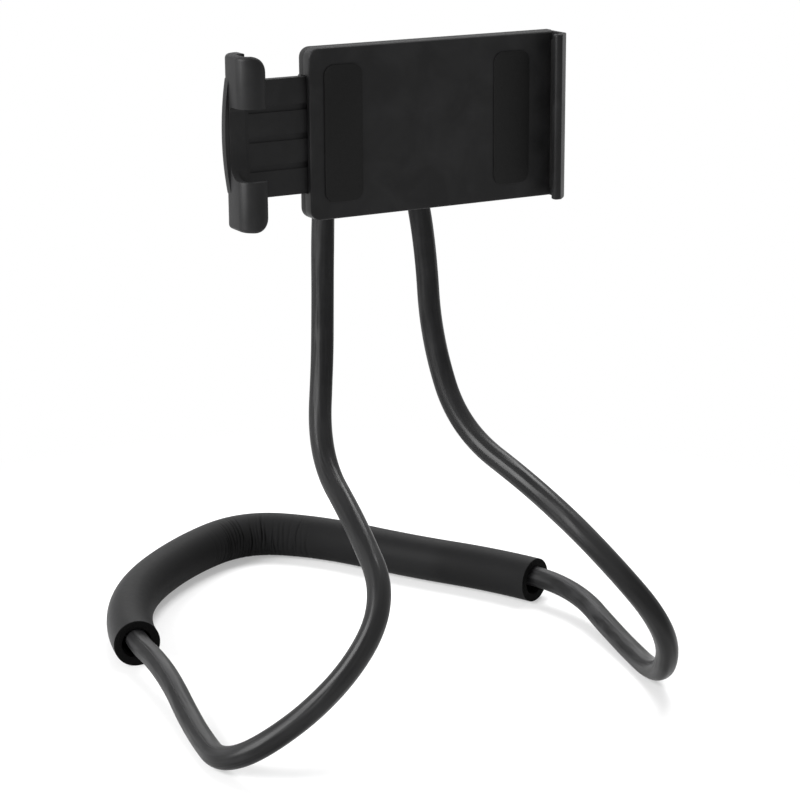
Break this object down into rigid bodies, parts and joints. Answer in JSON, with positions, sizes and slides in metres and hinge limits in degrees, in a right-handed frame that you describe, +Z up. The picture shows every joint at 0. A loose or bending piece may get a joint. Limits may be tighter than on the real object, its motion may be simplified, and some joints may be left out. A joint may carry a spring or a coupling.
{
  "type": "neck phone holder",
  "caption": "Wearable phone holder: a rubber-covered bendable tube with a foam neck pad carries a ball head and a sprung clamp that grips a phone by its ends.",
  "frame": {"origin": "middle of the floor under the whole object, as it stands on its loop", "axes": "X to the right of someone facing the clamp, Y from the clamp's front to the neck pad, Z up"},
  "size_m": [0.2172, 0.268, 0.2672],
  "materials": {
    "tube_rubber": "semi-matte rubber hose",
    "pad_foam": "matte closed-cell foam",
    "black_plastic": "fine satin moulding",
    "grip_rubber": "matte soft rubber",
    "plated_steel": "bright plating",
    "screw_steel": "dark zinc",
    "spring_steel": "plain spring wire",
    "natural_nylon": "natural nylon"
  },
  "bodies": {
    "neck_frame": {"neck_tube": "tube_rubber", "neck_pad": "pad_foam", "bridge_front": "black_plastic", "bridge_rear": "black_plastic", "bridge_screws": "screw_steel", "ball_stud": "plated_steel", "stud_nut": "plated_steel"},
    "seat": {"ball_seat": "natural_nylon"},
    "tilt_ring": {"seat_ring": "natural_nylon"},
    "clamp": {"clamp_front_shell": "black_plastic", "clamp_rear_shell": "black_plastic", "shell_screws": "screw_steel", "left_rest_pad": "grip_rubber", "right_rest_pad": "grip_rubber", "fixed_jaw_pad": "grip_rubber", "upper_jaw_spring": "spring_steel", "lower_jaw_spring": "spring_steel"},
    "lock_ring": {"lock_ring": "black_plastic"},
    "jaw": {"sliding_jaw": "black_plastic", "upper_claw_pad": "grip_rubber", "lower_claw_pad": "grip_rubber"}
  },
  "joints": [
    {"name": "head_pan", "type": "hinge", "parent": "neck_frame", "child": "seat", "pos_m": [0.00236, -0.0463, 0.2347], "axis": [0, 0, 1], "range_deg": [-18, 18]},
    {"name": "head_tilt", "type": "hinge", "parent": "seat", "child": "tilt_ring", "pos_m": [0.00236, -0.0463, 0.2347], "axis": [1, 0, 0], "range_deg": [-18, 18]},
    {"name": "head_swivel", "type": "hinge", "parent": "tilt_ring", "child": "clamp", "pos_m": [0.00236, -0.0463, 0.2347], "axis": [0, 1, 0], "continuous": true},
    {"name": "lock_ring_turn", "type": "hinge", "parent": "clamp", "child": "lock_ring", "pos_m": [0.00236, -0.0463, 0.2347], "axis": [0, 1, 0], "range_deg": [0, 90]},
    {"name": "jaw_slide", "type": "slide", "parent": "clamp", "child": "jaw", "axis": [-1, 0, 0], "range_m": [-0.026, 0.03], "deforming": ["upper_jaw_spring", "lower_jaw_spring"]}
  ]
}
